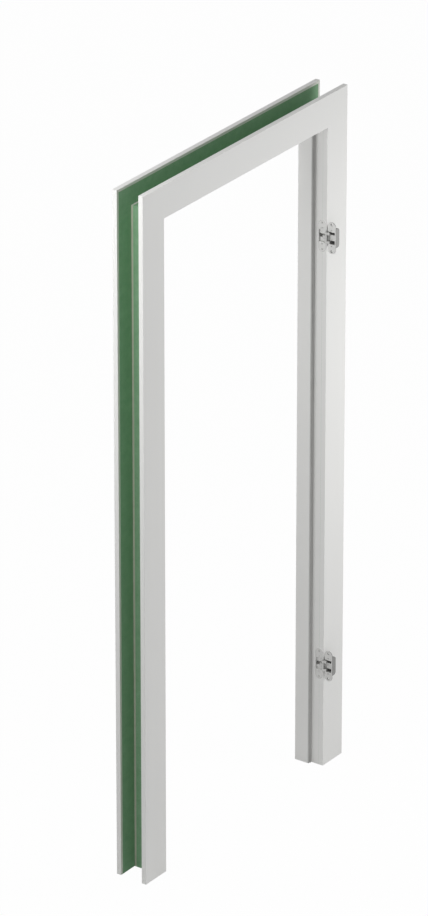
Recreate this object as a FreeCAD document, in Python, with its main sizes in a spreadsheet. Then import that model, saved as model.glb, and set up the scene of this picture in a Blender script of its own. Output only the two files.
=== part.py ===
# Adjustable interior door frame for a flush leaf, with two concealed hinges
# shown folded right open, and no leaf.
#
# The opening lies in the XZ plane. X runs across it, Y runs from the door side
# through the wall, and Z runs up from the floor. The origin is on the floor, in
# the middle of the width, in the plane of the front casings.
import FreeCAD, Part
import math
import os
import Sketcher
from FreeCAD import Vector

os.makedirs("parts", exist_ok=True)
doc = FreeCAD.newDocument("door_frame")
UP = Vector(0, 0, 1)

# Driving dimensions, in millimetres
DIMENSIONS = [
    ("frame_width", 972.0),
    ("frame_height", 2100.0),
    ("casing_width", 97.0),
    ("casing_thick", 15.0),
    ("wall_thick", 75.0),
    ("rear_thick", 15.0),
    ("rear_inset", 5.0),
    ("lining_thick", 27.0),
    ("lining_depth", 75.0),
    ("stop_thick", 12.5),
    ("stop_depth", 45.3),
    ("tongue_offset", 12.0),
    ("tongue_thick", 6.0),
    ("tongue_length", 48.0),
    ("groove_gap", 0.3),
    ("groove_spare", 2.0),
    ("spline_offset", 12.0),
    ("spline_thick", 4.0),
    ("spline_reach", 7.0),
    ("seal_width", 12.0),
    ("seal_ridge", 8.0),
    ("seal_flange", 3.5),
    ("seal_bulb", 4.0),
    ("seal_barb_offset", 3.0),
    ("seal_barb_thick", 2.4),
    ("seal_barb_depth", 5.0),
    ("upper_hinge_drop", 428.0),
    ("lower_hinge_rise", 328.0),
    ("plate_width", 26.5),
    ("plate_height", 96.0),
    ("plate_thick", 2.5),
    ("plate_margin", 2.5),
    ("plate_gap", 0.2),
    ("open_gap", 0.5),
    ("leaf_gap", 3.0),
    ("housing_width", 24.0),
    ("housing_height", 58.0),
    ("housing_depth", 18.0),
    ("housing_corner", 8.5),
    ("housing_wall", 1.5),
    ("housing_floor", 1.5),
    ("window_height", 37.0),
    ("bridge_sink", 4.0),
    ("pivot_depth", 12.0),
    ("pivot_margin", 9.0),
    ("knee_stand", 3.0),
    ("centre_stand", 4.0),
    ("arm_bar", 5.0),
    ("arm_knuckle", 3.6),
    ("pin_radius", 1.8),
    ("pin_fit", 0.05),
    ("pin_seat", 4.0),
    ("central_arm_height", 18.0),
    ("central_bar_height", 10.0),
    ("outer_arm_height", 7.7),
    ("arm_gap", 0.3),
    ("fixing_spacing", 81.0),
    ("fixing_radius", 2.1),
    ("fixing_head", 4.0),
    ("fixing_length", 22.0),
    ("adjuster_spacing", 49.0),
    ("adjuster_radius", 2.5),
    ("adjuster_length", 12.0),
    ("adjuster_sink", 0.3),
    ("hex_radius", 1.4),
    ("hex_depth", 2.5),
    ("screw_fit", 0.02),
    ("strike_rise", 1000.0),
    ("strike_setback", 8.0),
    ("strike_width", 24.0),
    ("strike_height", 170.0),
    ("strike_thick", 2.0),
    ("strike_spacing", 146.0),
    ("latch_width", 15.0),
    ("latch_height", 34.0),
    ("latch_shift", 22.0),
    ("bolt_height", 40.0),
    ("bolt_shift", 44.0),
    ("latch_pocket", 18.0),
    ("corner_offset", 6.0),
    ("corner_front", 26.5),
    ("corner_pitch", 9.0),
    ("corner_length", 55.0),
    ("corner_radius", 2.2),
    ("corner_head", 3.9),
]

sheet = doc.addObject("Spreadsheet::Sheet", "dims")
for row, (alias, value) in enumerate(DIMENSIONS, start=1):
    sheet.set("A%d" % row, alias)
    sheet.set("B%d" % row, str(value))
    sheet.setAlias("B%d" % row, alias)
doc.recompute()

# Derived places, as expressions on the sheet
REVEAL_X = "(dims.frame_width / 2 - dims.casing_width)"
REVEAL_Z = "(dims.frame_height - dims.casing_width)"
LINING_BACK = "(dims.casing_thick + dims.lining_depth)"
STOP_FRONT = "(dims.casing_thick + dims.lining_depth - dims.stop_depth)"
REAR_FRONT = "(dims.casing_thick + dims.wall_thick)"
PLATE_MIDDLE = "(dims.plate_margin + dims.plate_width / 2)"

parts = []


def dim(alias):
    return float(sheet.get(alias))


def bind(obj, **expressions):
    """Tie properties to expressions; base_x, base_y and base_z move the object."""
    for name, expression in expressions.items():
        if name.startswith("base_"):
            name = ".Placement.Base." + name[-1]
        obj.setExpression(name, expression)


def keep(label, obj):
    """Name a finished piece and list it for writing."""
    obj.Label = label
    parts.append((label, obj))
    return obj


# Mitred boards
def mitred_board(label, where, inner, outer, front, depth):
    """A board between two offsets from the reveal, cut at 45 degrees at the head.

    The offsets grow away from the opening. The board starts at the depth `front`
    and is `depth` thick. `where` is "jamb", on the right, or "head".
    """
    body = doc.addObject("PartDesign::Body", label)
    sketch = body.newObject("Sketcher::SketchObject", label + "_outline")
    plane = [item for item in body.Origin.OriginFeatures if item.Role == "XZ_Plane"][0]
    sketch.AttachmentSupport = [(plane, "")]
    sketch.MapMode = "FlatFace"
    near_x = "%s + %s" % (REVEAL_X, inner)
    far_x = "%s + %s" % (REVEAL_X, outer)
    near_z = "%s + %s" % (REVEAL_Z, inner)
    far_z = "%s + %s" % (REVEAL_Z, outer)
    start_x = dim("frame_width") / 2 - dim("casing_width")
    start_z = dim("frame_height") - dim("casing_width")
    end_x = start_x + dim("lining_thick")
    end_z = start_z + dim("lining_thick")
    if where == "jamb":
        corners = [(start_x, 0), (end_x, 0), (end_x, end_z), (start_x, start_z)]
    else:
        corners = [(-start_x, start_z), (start_x, start_z), (end_x, end_z), (-end_x, end_z)]
    points = [Vector(x, z, 0) for x, z in corners]
    for index in range(4):
        sketch.addGeometry(Part.LineSegment(points[index], points[(index + 1) % 4]), False)
    for index in range(4):
        sketch.addConstraint(Sketcher.Constraint("Coincident", index, 2, (index + 1) % 4, 1))
    places = []
    if where == "jamb":
        sketch.addConstraint(Sketcher.Constraint("Horizontal", 0))
        sketch.addConstraint(Sketcher.Constraint("PointOnObject", 0, 1, -1))
        sketch.addConstraint(Sketcher.Constraint("Vertical", 1))
        sketch.addConstraint(Sketcher.Constraint("Vertical", 3))
        places.append(("near_x", "DistanceX", (-1, 1, 0, 1), near_x, start_x))
        places.append(("far_x", "DistanceX", (-1, 1, 0, 2), far_x, end_x))
        places.append(("near_z", "DistanceY", (-1, 1, 3, 1), near_z, start_z))
        places.append(("far_z", "DistanceY", (-1, 1, 2, 1), far_z, end_z))
    else:
        sketch.addConstraint(Sketcher.Constraint("Symmetric", 0, 1, 0, 2, -2))
        sketch.addConstraint(Sketcher.Constraint("Symmetric", 2, 1, 2, 2, -2))
        places.append(("near_x", "DistanceX", (-1, 1, 0, 2), near_x, start_x))
        places.append(("far_x", "DistanceX", (-1, 1, 2, 1), far_x, end_x))
        places.append(("near_z", "DistanceY", (-1, 1, 0, 2), near_z, start_z))
        places.append(("far_z", "DistanceY", (-1, 1, 2, 1), far_z, end_z))
    for name, kind, ends, expression, value in places:
        number = sketch.addConstraint(Sketcher.Constraint(kind, *ends, value))
        sketch.renameConstraint(number, name)
        sketch.setExpression("Constraints." + name, expression)
    pad = body.newObject("PartDesign::Pad", label + "_pad")
    pad.Profile = sketch
    pad.Reversed = True
    bind(pad, Length=depth)
    bind(body, base_y=front)
    return body


def mirror(label, source, normal, base_expression=None):
    """A mirror image in a plane through the origin, or through a stated depth."""
    image = doc.addObject("Part::Mirroring", label)
    image.Source = source
    image.Normal = normal
    if base_expression:
        image.setExpression("Base.y", base_expression)
    return image


def cut(label, base, tools):
    """Take every tool away from the base."""
    tool = tools[0]
    if len(tools) > 1:
        tool = doc.addObject("Part::MultiFuse", label + "_tools")
        tool.Shapes = tools
    result = doc.addObject("Part::Cut", label)
    result.Base = base
    result.Tool = tool
    return result


def fuse(label, shapes):
    result = doc.addObject("Part::MultiFuse", label)
    result.Shapes = shapes
    return result


def ring(name, inner, outer, front, depth):
    """The jamb and head boards of one layer of the frame, as (jamb, head)."""
    jamb = mitred_board(name + "_jamb", "jamb", inner, outer, front, depth)
    head = mitred_board(name + "_top", "head", inner, outer, front, depth)
    return jamb, head


# Boxes and cylinders bound to the sheet
def box(label, corner, size):
    obj = doc.addObject("Part::Box", label)
    bind(obj, base_x=corner[0], base_y=corner[1], base_z=corner[2])
    bind(obj, Length=size[0], Width=size[1], Height=size[2])
    return obj


def rod(label, foot, radius, length, axis="z"):
    """A cylinder from `foot` along +Z, or along +X or +Y."""
    obj = doc.addObject("Part::Cylinder", label)
    if axis == "x":
        obj.Placement = FreeCAD.Placement(Vector(), FreeCAD.Rotation(Vector(0, 1, 0), 90))
    if axis == "y":
        obj.Placement = FreeCAD.Placement(Vector(), FreeCAD.Rotation(Vector(1, 0, 0), -90))
    bind(obj, base_x=foot[0], base_y=foot[1], base_z=foot[2], Radius=radius, Height=length)
    return obj


def cone(label, foot, wide, narrow, length, axis="x", turn=90):
    """A cone that starts wide at `foot` and runs inwards."""
    obj = doc.addObject("Part::Cone", label)
    direction = Vector(0, 1, 0) if axis == "x" else Vector(1, 0, 0)
    obj.Placement = FreeCAD.Placement(Vector(), FreeCAD.Rotation(direction, turn))
    bind(obj, base_x=foot[0], base_y=foot[1], base_z=foot[2])
    bind(obj, Radius1=wide, Radius2=narrow, Height=length)
    return obj


# Hinge sinkings in the right jamb
def hinge_height(level):
    if level == "upper":
        return "(dims.frame_height - dims.upper_hinge_drop)"
    return "dims.lower_hinge_rise"


def rounded_plate(label, level, extra, thick):
    """A plate with half-round ends, its face flush with the reveal, grown by `extra`."""
    middle = hinge_height(level)
    radius = "dims.plate_width / 2"
    straight = "(dims.plate_height - dims.plate_width)"
    bar = box(label + "_bar",
              (REVEAL_X, "dims.plate_margin - %s" % extra, "%s - %s / 2" % (middle, straight)),
              (thick, "dims.plate_width + 2 * %s" % extra, straight))
    ends = []
    for name, sign in (("low", "-"), ("high", "+")):
        centre = (REVEAL_X, PLATE_MIDDLE, "%s %s %s / 2" % (middle, sign, straight))
        ends.append(rod(label + "_" + name, centre, "%s + %s" % (radius, extra), thick, axis="x"))
    return fuse(label, [bar] + ends)


def hinge_sinking(level):
    """The room that a hinge half needs in the jamb: plate, housing and screw holes."""
    middle = hinge_height(level)
    recess = rounded_plate(level + "_recess", level, "dims.plate_gap", "dims.plate_thick")
    pocket = box(level + "_pocket",
                 (REVEAL_X,
                  "%s - dims.housing_width / 2 - dims.plate_gap" % PLATE_MIDDLE,
                  "%s - dims.housing_height / 2 - dims.plate_gap" % middle),
                 ("dims.plate_thick + dims.housing_depth + dims.plate_gap",
                  "dims.housing_width + 2 * dims.plate_gap",
                  "dims.housing_height + 2 * dims.plate_gap"))
    tools = [recess, pocket]
    for name, sign in (("low", "-"), ("high", "+")):
        foot = (REVEAL_X, PLATE_MIDDLE, "%s %s dims.fixing_spacing / 2" % (middle, sign))
        tools.append(rod("%s_pilot_%s" % (level, name), foot,
                         "dims.fixing_radius + dims.screw_fit",
                         "dims.fixing_length + dims.screw_fit", axis="x"))
    return fuse(level + "_sinking", tools)


sinkings = [hinge_sinking("upper"), hinge_sinking("lower")]


# Strike sinking in the left jamb
STRIKE_MIDDLE = "(dims.strike_setback + dims.strike_width / 2)"
STRIKE_BACK_X = "(-%s - dims.strike_thick)" % REVEAL_X


def strike_pocket(name, height, shift, sign):
    return box("strike_pocket_" + name,
               ("-%s - dims.latch_pocket" % REVEAL_X,
                "%s - dims.latch_width / 2" % STRIKE_MIDDLE,
                "dims.strike_rise %s %s - %s / 2" % (sign, shift, height)),
               ("dims.latch_pocket", "dims.latch_width", height))


strike_tools = [
    box("strike_recess",
        (STRIKE_BACK_X, "dims.strike_setback - dims.plate_gap",
         "dims.strike_rise - dims.strike_height / 2 - dims.plate_gap"),
        ("dims.strike_thick", "dims.strike_width + 2 * dims.plate_gap",
         "dims.strike_height + 2 * dims.plate_gap")),
    strike_pocket("latch", "dims.latch_height", "dims.latch_shift", "+"),
    strike_pocket("bolt", "dims.bolt_height", "dims.bolt_shift", "-"),
]
for end, sign in (("low", "-"), ("high", "+")):
    strike_tools.append(rod("strike_pilot_" + end,
                            ("-%s - dims.fixing_length - dims.screw_fit" % REVEAL_X,
                             STRIKE_MIDDLE,
                             "dims.strike_rise %s dims.strike_spacing / 2" % sign),
                            "dims.fixing_radius + dims.screw_fit",
                            "dims.fixing_length + dims.screw_fit", axis="x"))
strike_sinking = fuse("strike_sinking", strike_tools)

# Corner screw holes, driven down through the head lining into each jamb
def corner_screw(label, side, index, extra="0"):
    """One countersunk screw, or its hole when `extra` widens it."""
    sign = "" if side == "right" else "-"
    x = "%s(%s + dims.corner_offset)" % (sign, REVEAL_X)
    y = "dims.corner_front + %d * dims.corner_pitch" % index
    top = "(%s + dims.lining_thick)" % REVEAL_Z
    shank = rod(label + "_shank", (x, y, "%s - dims.corner_length - %s" % (top, extra)),
                "dims.corner_radius + %s" % extra, "dims.corner_length + %s" % extra)
    head = cone(label + "_head", (x, y, top), "dims.corner_head + %s" % extra,
                "dims.corner_radius + %s" % extra, "dims.corner_head - dims.corner_radius",
                axis="z", turn=180)
    return fuse(label, [shank, head])


SIDES = ("left", "right")
corner_holes = fuse("corner_holes", [
    corner_screw("corner_hole_%s_%d" % (side, index), side, index, "dims.screw_fit")
    for side in SIDES for index in (0, 1)])
keep("corner_screws", fuse("corner_screw_set", [
    corner_screw("corner_screw_%s_%d" % (side, index), side, index)
    for side in SIDES for index in (0, 1)]))

# Grooves
tongue_inner = "dims.tongue_offset - dims.groove_gap"
tongue_outer = "dims.tongue_offset + dims.tongue_thick + dims.groove_gap"
tongue_reach = "(dims.tongue_length - (%s - %s))" % (REAR_FRONT, LINING_BACK)
tongue_front = "%s - %s - dims.groove_spare" % (LINING_BACK, tongue_reach)
tongue_groove = ring("tongue_groove", tongue_inner, tongue_outer, tongue_front,
                     "%s + dims.groove_spare" % tongue_reach)
spline_inner = "dims.spline_offset"
spline_outer = "dims.spline_offset + dims.spline_thick"
spline_front = "dims.casing_thick - dims.spline_reach"
spline_groove = ring("spline_groove", spline_inner, spline_outer, spline_front,
                     "2 * dims.spline_reach")
barb_inner = "-dims.seal_barb_offset - dims.seal_barb_thick"
barb_groove = ring("barb_groove", barb_inner, "-dims.seal_barb_offset", STOP_FRONT,
                   "dims.seal_barb_depth + dims.groove_gap")

# Front casings, on the door side
front_casing = ring("front_casing", "0", "dims.casing_width", "0", "dims.casing_thick")
casing_mirror = mirror("front_casing_mirror", front_casing[0], Vector(1, 0, 0))
spline_mirror = mirror("spline_groove_mirror", spline_groove[0], Vector(1, 0, 0))
keep("front_casing_right", cut("casing_right_cut", front_casing[0], [spline_groove[0]] + sinkings))
keep("front_casing_left", cut("casing_left_cut", casing_mirror, [spline_mirror, strike_sinking]))
keep("front_casing_head", cut("casing_head_cut", front_casing[1], [spline_groove[1]]))

# Splines that join the front casings to the linings
spline = ring("spline", spline_inner, spline_outer, spline_front, "2 * dims.spline_reach")
spline_left = mirror("spline_left_whole", spline[0], Vector(1, 0, 0))
keep("front_spline_right", cut("spline_right_cut", spline[0], sinkings))
keep("front_spline_left", cut("spline_left_cut", spline_left, [strike_sinking]))
keep("front_spline_head", spline[1])

# Linings, the boards that line the wall opening
lining = ring("lining", "0", "dims.lining_thick", "dims.casing_thick", "dims.lining_depth")
lining_mirror = mirror("lining_mirror", lining[0], Vector(1, 0, 0))
tongue_mirror = mirror("tongue_groove_mirror", tongue_groove[0], Vector(1, 0, 0))
keep("lining_right", cut("lining_right_cut", lining[0],
                         [tongue_groove[0], spline_groove[0], corner_holes] + sinkings))
keep("lining_left", cut("lining_left_cut", lining_mirror,
                        [tongue_mirror, spline_mirror, corner_holes, strike_sinking]))
keep("lining_head", cut("lining_head_cut", lining[1],
                        [tongue_groove[1], spline_groove[1], corner_holes]))

# Stops, the raised strips that the leaf closes against
stop = ring("stop", "-dims.stop_thick", "0", STOP_FRONT, "dims.stop_depth")
stop_right = keep("stop_right", cut("stop_right_cut", stop[0], [barb_groove[0]]))
keep("stop_left", mirror("stop_left_mirror", stop_right, Vector(1, 0, 0)))
keep("stop_head", cut("stop_head_cut", stop[1], [barb_groove[1]]))

# Seals in the corner between the reveal and the stop
seal_front = "%s - dims.seal_flange" % STOP_FRONT
seal_flange = ring("seal_flange", "-dims.seal_width", "0", seal_front, "dims.seal_flange")
seal_bulb = ring("seal_bulb", "-dims.seal_ridge", "0", "%s - dims.seal_bulb" % seal_front,
                 "dims.seal_bulb")
seal_barb = ring("seal_barb", barb_inner, "-dims.seal_barb_offset", STOP_FRONT,
                 "dims.seal_barb_depth")
seal_right = keep("seal_right", fuse("seal_jamb", [seal_flange[0], seal_bulb[0], seal_barb[0]]))
keep("seal_left", mirror("seal_left_mirror", seal_right, Vector(1, 0, 0)))
keep("seal_head", fuse("seal_top", [seal_flange[1], seal_bulb[1], seal_barb[1]]))

# Rear casings and their tongues, which slide in the linings to suit the wall
rear_outer = "dims.casing_width - dims.rear_inset"
rear = ring("rear_casing", "dims.tongue_offset", rear_outer, REAR_FRONT, "dims.rear_thick")
keep("rear_casing_right", rear[0])
keep("rear_casing_left", mirror("rear_casing_left_mirror", rear[0], Vector(1, 0, 0)))
keep("rear_casing_head", rear[1])
tongue = ring("tongue", "dims.tongue_offset", "dims.tongue_offset + dims.tongue_thick",
              "%s - dims.tongue_length" % REAR_FRONT, "dims.tongue_length")
keep("rear_tongue_right", tongue[0])
keep("rear_tongue_left", mirror("rear_tongue_left_mirror", tongue[0], Vector(1, 0, 0)))
keep("rear_tongue_head", tongue[1])

# Strike plate and its screws, on the latch jamb
strike_blank = box("strike_blank",
                   (STRIKE_BACK_X, "dims.strike_setback",
                    "dims.strike_rise - dims.strike_height / 2"),
                   ("dims.strike_thick", "dims.strike_width", "dims.strike_height"))


def side_screw(label, face_x, inward, y, z, extra="0"):
    """A countersunk screw whose head is flush at face_x; inward is + or - along X."""
    cone_turn = 90 if inward == "+" else -90
    sink = "(dims.fixing_head - dims.fixing_radius)"
    head = cone(label + "_head", (face_x, y, z), "dims.fixing_head + %s" % extra,
                "dims.fixing_radius + %s" % extra, sink, turn=cone_turn)
    start = face_x if inward == "+" else "%s - dims.fixing_length" % face_x
    shank = rod(label + "_shank", (start, y, z), "dims.fixing_radius + %s" % extra,
                "dims.fixing_length", axis="x")
    return fuse(label, [head, shank])


strike_holes = []
strike_screws = []
for end, sign in (("low", "-"), ("high", "+")):
    z = "dims.strike_rise %s dims.strike_spacing / 2" % sign
    face = "(-%s)" % REVEAL_X
    strike_holes.append(side_screw("strike_hole_" + end, face, "-", STRIKE_MIDDLE, z,
                                   "dims.screw_fit"))
    strike_screws.append(side_screw("strike_screw_" + end, face, "-", STRIKE_MIDDLE, z))
strike_windows = strike_tools[1:3]
keep("strike_plate", cut("strike_plate_cut", strike_blank, strike_windows + strike_holes))
keep("strike_screws", fuse("strike_screw_set", strike_screws))

# Concealed hinges
MIRROR_Y = "-dims.open_gap / 2"
PIVOT_X = "%s + dims.pivot_depth" % REVEAL_X
HOUSING_X = "%s + dims.plate_thick" % REVEAL_X


def pin_place():
    """Pivot, knee and centre of the central arm in the opened hinge, from the reveal."""
    pivot = Vector(dim("pivot_depth"), dim("pivot_margin"), 0)
    knee = Vector(-dim("knee_stand"), dim("pivot_margin"), 0)
    centre = Vector(-dim("centre_stand"), -dim("open_gap") / 2, 0)
    return pivot, knee, centre


def arm_shape(middle, eye_span, bar_span, on_leaf):
    """A cranked arm with an eye at its pivot and an eye at the centre.

    The centre eye fills the heights of `eye_span`, and the rest those of `bar_span`. The
    central arm turns on the frame's pin. The outer arms turn on the leaf's pin, and their
    centre eyes are closed, because the centre pin ends inside the central arm.
    """
    pivot, knee, centre = pin_place()
    if on_leaf:
        pivot, knee = [Vector(p.x, 2 * centre.y - p.y, 0) for p in (pivot, knee)]
    base = Vector(dim("frame_width") / 2 - dim("casing_width"), 0, middle)
    bar_foot = base + UP * bar_span[0]
    bar_height = bar_span[1] - bar_span[0]
    eye_foot = base + UP * eye_span[0]
    eye_height = eye_span[1] - eye_span[0]
    solids = []
    for start, finish in ((pivot, knee), (knee, centre)):
        along = finish - start
        side = Vector(-along.y, along.x, 0).normalize() * (dim("arm_bar") / 2)
        corners = [start + side, finish + side, finish - side, start - side, start + side]
        face = Part.Face(Part.makePolygon([c + bar_foot for c in corners]))
        solids.append(face.extrude(UP * bar_height))
    solids.append(Part.makeCylinder(dim("arm_bar") / 2, bar_height, knee + bar_foot))
    solids.append(Part.makeCylinder(dim("arm_knuckle"), bar_height, pivot + bar_foot))
    solids.append(Part.makeCylinder(dim("arm_knuckle"), eye_height, centre + eye_foot))
    shape = solids[0].multiFuse(solids[1:])
    for eye in ([pivot] if on_leaf else [pivot, centre]):
        bore = Part.makeCylinder(dim("pin_radius") + dim("pin_fit"), eye_height, eye + eye_foot)
        shape = shape.cut(bore)
    return shape.removeSplitter()


def arm(label, middle, eye_span, bar_span, on_leaf):
    obj = doc.addObject("Part::Feature", label)
    obj.Shape = arm_shape(middle, eye_span, bar_span, on_leaf)
    return keep(label, obj)


def housing_shell(name, middle):
    """The housing before its window is cut, with rounded corners at its back."""
    side_y = "%s - dims.housing_width / 2" % PLATE_MIDDLE
    foot_z = "%s - dims.housing_height / 2" % middle
    shapes = [
        box(name + "shell_front", (HOUSING_X, side_y, foot_z),
            ("dims.housing_depth - dims.housing_corner", "dims.housing_width",
             "dims.housing_height")),
        box(name + "shell_back", (HOUSING_X, side_y, foot_z + " + dims.housing_corner"),
            ("dims.housing_depth", "dims.housing_width",
             "dims.housing_height - 2 * dims.housing_corner")),
    ]
    centre_x = HOUSING_X + " + dims.housing_depth - dims.housing_corner"
    for end, sign in (("low", "-"), ("high", "+")):
        centre_z = "%s %s (dims.housing_height / 2 - dims.housing_corner)" % (middle, sign)
        shapes.append(rod(name + "shell_corner_" + end, (centre_x, side_y, centre_z),
                          "dims.housing_corner", "dims.housing_width", axis="y"))
    return fuse(name + "shell", shapes)


def frame_half(level):
    """The half that is let into the jamb, and the blocks that stand in a half's window.

    The half is a housing, a plate, a pivot pin and two adjusters. The side blocks leave a
    slot for the central arm, and the core block fills the window between the outer arms.
    """
    name = level + "_hinge_"
    middle = hinge_height(level)
    wall = "dims.housing_wall"
    shell = housing_shell(name, middle)
    cavity = box(name + "cavity",
                 (REVEAL_X, "%s - dims.housing_width / 2 + %s" % (PLATE_MIDDLE, wall),
                  "%s - dims.window_height / 2" % middle),
                 ("dims.plate_thick + dims.housing_depth - dims.housing_floor",
                  "dims.housing_width - 2 * %s" % wall, "dims.window_height"))
    pin_foot = "%s - dims.window_height / 2 - dims.pin_seat" % middle
    pin_length = "dims.window_height + 2 * dims.pin_seat"
    pin_hole = rod(name + "pin_hole", (PIVOT_X, "dims.pivot_margin", pin_foot),
                   "dims.pin_radius + dims.screw_fit", pin_length)
    pin = rod(name + "pin_blank", (PIVOT_X, "dims.pivot_margin", pin_foot),
              "dims.pin_radius", pin_length)
    holes = []
    adjusters = []
    for end, sign in (("low", "-"), ("high", "+")):
        z = "%s %s dims.adjuster_spacing / 2" % (middle, sign)
        start = (REVEAL_X + " + dims.adjuster_sink", PLATE_MIDDLE, z)
        holes.append(rod(name + "adjuster_hole_" + end, (REVEAL_X, PLATE_MIDDLE, z),
                         "dims.adjuster_radius + dims.screw_fit",
                         "dims.adjuster_sink + dims.adjuster_length", axis="x"))
        body = rod(name + "adjuster_body_" + end, start, "dims.adjuster_radius",
                   "dims.adjuster_length", axis="x")
        socket = doc.addObject("Part::Prism", name + "socket_" + end)
        socket.Polygon = 6
        socket.Placement = FreeCAD.Placement(Vector(), FreeCAD.Rotation(Vector(0, 1, 0), 90))
        bind(socket, base_x=start[0], base_y=start[1], base_z=start[2])
        bind(socket, Circumradius="dims.hex_radius", Height="dims.hex_depth")
        adjusters.append(cut(name + "adjuster_" + end, body, [socket]))
    housing = cut(name + "housing_cut", shell, [cavity, pin_hole] + holes)
    plate_blank = rounded_plate(name + "plate_blank", level, "0", "dims.plate_thick")
    screw_holes = []
    screws = []
    for end, sign in (("low", "-"), ("high", "+")):
        z = "%s %s dims.fixing_spacing / 2" % (middle, sign)
        screw_holes.append(side_screw(name + "screw_hole_" + end, REVEAL_X, "+",
                                      PLATE_MIDDLE, z, "dims.screw_fit"))
        screws.append(side_screw(name + "screw_" + end, REVEAL_X, "+", PLATE_MIDDLE, z))
    plate = cut(name + "plate_cut", plate_blank, [cavity] + holes + screw_holes)
    keep(name + "frame_screws", fuse(name + "screw_set", screws))
    half = {"housing": housing, "plate": plate, "pin": pin,
            "adjusters": fuse(name + "adjuster_set", adjusters)}

    def block(label, foot, height):
        return box(name + label,
                   (REVEAL_X + " + dims.bridge_sink",
                    "%s - dims.housing_width / 2" % PLATE_MIDDLE, "%s + %s" % (middle, foot)),
                   ("dims.plate_thick + dims.housing_depth - dims.bridge_sink",
                    "dims.housing_width", height))

    slot = "(dims.central_bar_height / 2 + dims.arm_gap)"
    sides = fuse(name + "side_blocks", [
        block("high_block", slot, "dims.window_height / 2 - %s" % slot),
        block("low_block", "(-dims.window_height / 2)", "dims.window_height / 2 - %s" % slot)])
    core = block("core_block", "(-dims.central_arm_height / 2)", "dims.central_arm_height")
    return (half, cut(name + "bored_side_blocks", sides, [pin_hole]),
            cut(name + "bored_core_block", core, [pin_hole]))


def hinge(level):
    """One hinge: the frame half, its mirror image for the leaf, and the arms between.

    The halves differ in the blocks in their windows: the central arm enters the frame's
    half, and the outer arms enter the leaf's.
    """
    name = level + "_hinge_"
    pieces, sides, core = frame_half(level)
    for piece, obj in pieces.items():
        frame_piece, leaf_piece = obj, obj
        if piece == "housing":
            frame_piece = fuse(name + "frame_housing_whole", [obj, sides])
            leaf_piece = fuse(name + "leaf_housing_whole", [obj, core])
        keep(name + "frame_" + piece, frame_piece)
        keep(name + "leaf_" + piece,
             mirror(name + "leaf_" + piece + "_mirror", leaf_piece, Vector(0, 1, 0), MIRROR_Y))
    heights = {"upper": dim("frame_height") - dim("upper_hinge_drop"),
               "lower": dim("lower_hinge_rise")}
    middle = heights[level]
    half = dim("central_arm_height") / 2
    bar_half = dim("central_bar_height") / 2
    start = half + dim("arm_gap")
    finish = start + dim("outer_arm_height")
    arm(name + "central_arm", middle, (-half, half), (-bar_half, bar_half), False)
    arm(name + "outer_arm_top", middle, (start, finish), (start, finish), True)
    arm(name + "outer_arm_bottom", middle, (-finish, -start), (-finish, -start), True)
    keep(name + "centre_pin",
         rod(name + "centre_pin_rod",
             (REVEAL_X + " - dims.centre_stand", MIRROR_Y,
              "%s - dims.central_arm_height / 2" % hinge_height(level)),
             "dims.pin_radius", "dims.central_arm_height"))


hinge("upper")
hinge("lower")

doc.recompute()

# Check every object, then write each piece
for obj in doc.Objects:
    if "Invalid" in obj.State or "Error" in obj.State:
        raise RuntimeError("%s failed: %s" % (obj.Name, obj.State))
for label, obj in parts:
    shape = obj.Shape
    if shape.isNull() or not shape.isValid() or not shape.Solids:
        raise RuntimeError("%s has no valid solid" % label)
for label, obj in parts:
    obj.Shape.exportStep("parts/%s.step" % label)
    print("%-32s solids %d volume %.0f mm3" % (label, len(obj.Shape.Solids), obj.Shape.Volume))
print("pieces", len(parts))
pivot, knee, centre = pin_place()
closed = Vector(-dim("leaf_gap") / 2, 0, 0)
arm_length = (centre - pivot).Length
rise = math.sqrt(arm_length ** 2 - (pivot.x - closed.x) ** 2)
closed.y = pivot.y + rise
opened_angle = math.degrees(math.atan2(pivot.y - centre.y, pivot.x - centre.x))
closed_angle = -math.degrees(math.atan2(rise, pivot.x - closed.x))
print("pivot to centre %.3f, turn of each arm %.2f degrees" % (arm_length, opened_angle - closed_angle))
print("leaf swings about x %.2f y %.2f" % (dim("frame_width") / 2 - dim("casing_width")
                                           + closed.x, centre.y))
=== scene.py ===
# %% [markdown]
# # A door frame with concealed hinges, dressed for the photograph
#
# The frame is an adjustable interior door frame: flat white boards, mitred at the
# top, with a grey seal and two folded-out concealed hinges and no door leaf. Its solids
# come finished from the CAD model, at their real size and in their real place. What is
# missing is how they look: soft edges, rubber with a rounded section, screw recesses,
# and finishes. This notebook adds those and moves nothing.

# %% Load the frame
import math

import bmesh
import bpy
from mathutils import Matrix, Vector


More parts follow.
